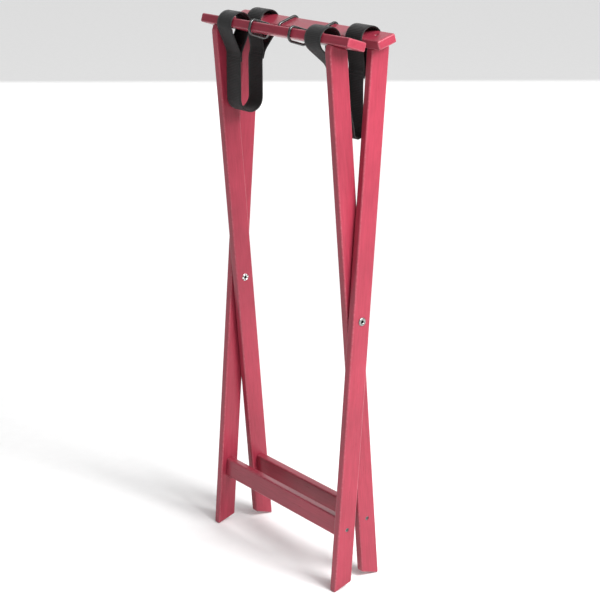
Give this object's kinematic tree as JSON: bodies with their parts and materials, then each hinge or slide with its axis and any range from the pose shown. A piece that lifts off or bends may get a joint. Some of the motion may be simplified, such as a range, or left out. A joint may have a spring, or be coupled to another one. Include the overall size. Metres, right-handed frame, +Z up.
{
  "type": "folding tray stand",
  "caption": "Folding wooden stand with crossed board frames on tubular rivets, two top rails, low stretchers and webbing straps that limit its spread.",
  "frame": {"origin": "on the floor, midway between the feet of the folded stand", "axes": "+Z up, X along the top rails, -Y the front, where the outer frame's stretcher is"},
  "size_m": [0.374, 0.0996, 0.8623],
  "materials": {
    "stained_wood": "satin mahogany stain",
    "webbing": "woven nylon",
    "ring_rubber": "glossy",
    "rivet_steel": "zinc plated",
    "washer_steel": "zinc plated",
    "screw_steel": "zinc plated, dulled"
  },
  "bodies": {
    "outer_frame": {"outer_leg_left": "stained_wood", "outer_leg_right": "stained_wood", "rear_top_rail": "stained_wood", "front_stretcher": "stained_wood", "pivot_rivet_left": "rivet_steel", "pivot_rivet_right": "rivet_steel", "pivot_washer_left": "washer_steel", "pivot_washer_right": "washer_steel", "rear_rail_screws": "screw_steel", "front_stretcher_screws": "screw_steel", "grip_ring_rear_left": "ring_rubber", "grip_ring_rear_right": "ring_rubber"},
    "inner_frame": {"inner_leg_left": "stained_wood", "inner_leg_right": "stained_wood", "front_top_rail": "stained_wood", "rear_stretcher": "stained_wood", "front_rail_screws": "screw_steel", "rear_stretcher_screws": "screw_steel", "grip_ring_front_left": "ring_rubber", "grip_ring_front_right": "ring_rubber"},
    "strap_rear_left_loop": {"strap_rear_left_loop": "webbing"},
    "strap_rear_left_run": {"strap_rear_left_run": "webbing"},
    "strap_rear_left_bend_1": {"strap_rear_left_bend_1": "webbing"},
    "strap_rear_left_bend_2": {"strap_rear_left_bend_2": "webbing"},
    "strap_front_left_loop": {"strap_front_left_loop": "webbing"},
    "strap_front_left_run": {"strap_front_left_run": "webbing"},
    "strap_front_left_bend_1": {"strap_front_left_bend_1": "webbing"},
    "strap_front_left_bend_2": {"strap_front_left_bend_2": "webbing"},
    "strap_rear_right_loop": {"strap_rear_right_loop": "webbing"},
    "strap_rear_right_run": {"strap_rear_right_run": "webbing"},
    "strap_rear_right_bend_1": {"strap_rear_right_bend_1": "webbing"},
    "strap_rear_right_bend_2": {"strap_rear_right_bend_2": "webbing"},
    "strap_front_right_loop": {"strap_front_right_loop": "webbing"},
    "strap_front_right_run": {"strap_front_right_run": "webbing"},
    "strap_front_right_bend_1": {"strap_front_right_bend_1": "webbing"},
    "strap_front_right_bend_2": {"strap_front_right_bend_2": "webbing"}
  },
  "joints": [
    {"name": "fold", "type": "hinge", "parent": "outer_frame", "child": "inner_frame", "pos_m": [0, 0, 0.42888], "axis": [1, 0, 0], "range_deg": [0, 35]},
    {"name": "strap_rear_left_swing", "type": "hinge", "parent": "outer_frame", "child": "strap_rear_left_loop", "pos_m": [0, 0.02713, 0.84239], "axis": [1, 0, 0], "range_deg": [-57.12, 0], "deforming": ["strap_rear_left_loop"]},
    {"name": "strap_rear_left_neck", "type": "hinge", "parent": "strap_rear_left_loop", "child": "strap_rear_left_run", "pos_m": [0, 0.01183, 0.78722], "axis": [1, 0, 0], "range_deg": [-15.53, 0], "deforming": ["strap_rear_left_run"]},
    {"name": "strap_rear_left_flex_1", "type": "hinge", "parent": "strap_rear_left_run", "child": "strap_rear_left_bend_1", "pos_m": [0, 0.01183, 0.71868], "axis": [1, 0, 0], "range_deg": [0, 45.09], "deforming": ["strap_rear_left_bend_1"]},
    {"name": "strap_rear_left_flex_2", "type": "hinge", "parent": "strap_rear_left_bend_1", "child": "strap_rear_left_bend_2", "pos_m": [0, -0.00017, 0.70669], "axis": [1, 0, 0], "range_deg": [0, 45.09], "deforming": ["strap_rear_left_bend_2"]},
    {"name": "strap_front_left_swing", "type": "hinge", "parent": "inner_frame", "child": "strap_front_left_loop", "pos_m": [0, -0.02713, 0.84239], "axis": [1, 0, 0], "range_deg": [0, 74.65], "deforming": ["strap_front_left_loop"]},
    {"name": "strap_front_left_neck", "type": "hinge", "parent": "strap_front_left_loop", "child": "strap_front_left_run", "pos_m": [0, -0.02913, 0.78517], "axis": [1, 0, 0], "range_deg": [-2, 0], "deforming": ["strap_front_left_run"]},
    {"name": "strap_front_left_flex_1", "type": "hinge", "parent": "strap_front_left_run", "child": "strap_front_left_bend_1", "pos_m": [0, -0.02913, 0.71868], "axis": [1, 0, 0], "range_deg": [-45.09, 0], "deforming": ["strap_front_left_bend_1"]},
    {"name": "strap_front_left_flex_2", "type": "hinge", "parent": "strap_front_left_bend_1", "child": "strap_front_left_bend_2", "pos_m": [0, -0.01713, 0.70669], "axis": [1, 0, 0], "range_deg": [-45.09, 0], "deforming": ["strap_front_left_bend_2"]},
    {"name": "strap_rear_right_swing", "type": "hinge", "parent": "outer_frame", "child": "strap_rear_right_loop", "pos_m": [0, 0.02713, 0.84239], "axis": [1, 0, 0], "range_deg": [-57.12, 0], "deforming": ["strap_rear_right_loop"]},
    {"name": "strap_rear_right_neck", "type": "hinge", "parent": "strap_rear_right_loop", "child": "strap_rear_right_run", "pos_m": [0, 0.01183, 0.78722], "axis": [1, 0, 0], "range_deg": [-15.53, 0], "deforming": ["strap_rear_right_run"]},
    {"name": "strap_rear_right_flex_1", "type": "hinge", "parent": "strap_rear_right_run", "child": "strap_rear_right_bend_1", "pos_m": [0, 0.01183, 0.70517], "axis": [1, 0, 0], "range_deg": [0, 45.09], "deforming": ["strap_rear_right_bend_1"]},
    {"name": "strap_rear_right_flex_2", "type": "hinge", "parent": "strap_rear_right_bend_1", "child": "strap_rear_right_bend_2", "pos_m": [0, 0.00743, 0.70077], "axis": [1, 0, 0], "range_deg": [0, 45.09], "deforming": ["strap_rear_right_bend_2"]},
    {"name": "strap_front_right_swing", "type": "hinge", "parent": "inner_frame", "child": "strap_front_right_loop", "pos_m": [0, -0.02713, 0.84239], "axis": [1, 0, 0], "range_deg": [0, 47.86], "deforming": ["strap_front_right_loop"]},
    {"name": "strap_front_right_neck", "type": "hinge", "parent": "strap_front_right_loop", "child": "strap_front_right_run", "pos_m": [0, -0.00318, 0.79039], "axis": [1, 0, 0], "range_deg": [0, 24.78], "deforming": ["strap_front_right_run"]},
    {"name": "strap_front_right_flex_1", "type": "hinge", "parent": "strap_front_right_run", "child": "strap_front_right_bend_1", "pos_m": [0, -0.00318, 0.70517], "axis": [1, 0, 0], "range_deg": [-45.09, 0], "deforming": ["strap_front_right_bend_1"]},
    {"name": "strap_front_right_flex_2", "type": "hinge", "parent": "strap_front_right_bend_1", "child": "strap_front_right_bend_2", "pos_m": [0, 0.00122, 0.70077], "axis": [1, 0, 0], "range_deg": [-45.09, 0], "deforming": ["strap_front_right_bend_2"]}
  ],
  "couplings": [
    {"joint": "strap_rear_left_swing", "follows": "fold", "ratio": -1.6287},
    {"joint": "strap_rear_left_neck", "follows": "fold", "ratio": -0.44288},
    {"joint": "strap_rear_left_flex_1", "follows": "fold", "ratio": 1.2858},
    {"joint": "strap_rear_left_flex_2", "follows": "fold", "ratio": 1.2858},
    {"joint": "strap_front_left_swing", "follows": "fold", "ratio": 2.1287},
    {"joint": "strap_front_left_neck", "follows": "fold", "ratio": -0.057146},
    {"joint": "strap_front_left_flex_1", "follows": "fold", "ratio": -1.2858},
    {"joint": "strap_front_left_flex_2", "follows": "fold", "ratio": -1.2858},
    {"joint": "strap_rear_right_swing", "follows": "fold", "ratio": -1.6287},
    {"joint": "strap_rear_right_neck", "follows": "fold", "ratio": -0.44288},
    {"joint": "strap_rear_right_flex_1", "follows": "fold", "ratio": 1.2858},
    {"joint": "strap_rear_right_flex_2", "follows": "fold", "ratio": 1.2858},
    {"joint": "strap_front_right_swing", "follows": "fold", "ratio": 1.3649},
    {"joint": "strap_front_right_neck", "follows": "fold", "ratio": 0.70671},
    {"joint": "strap_front_right_flex_1", "follows": "fold", "ratio": -1.2858},
    {"joint": "strap_front_right_flex_2", "follows": "fold", "ratio": -1.2858}
  ]
}
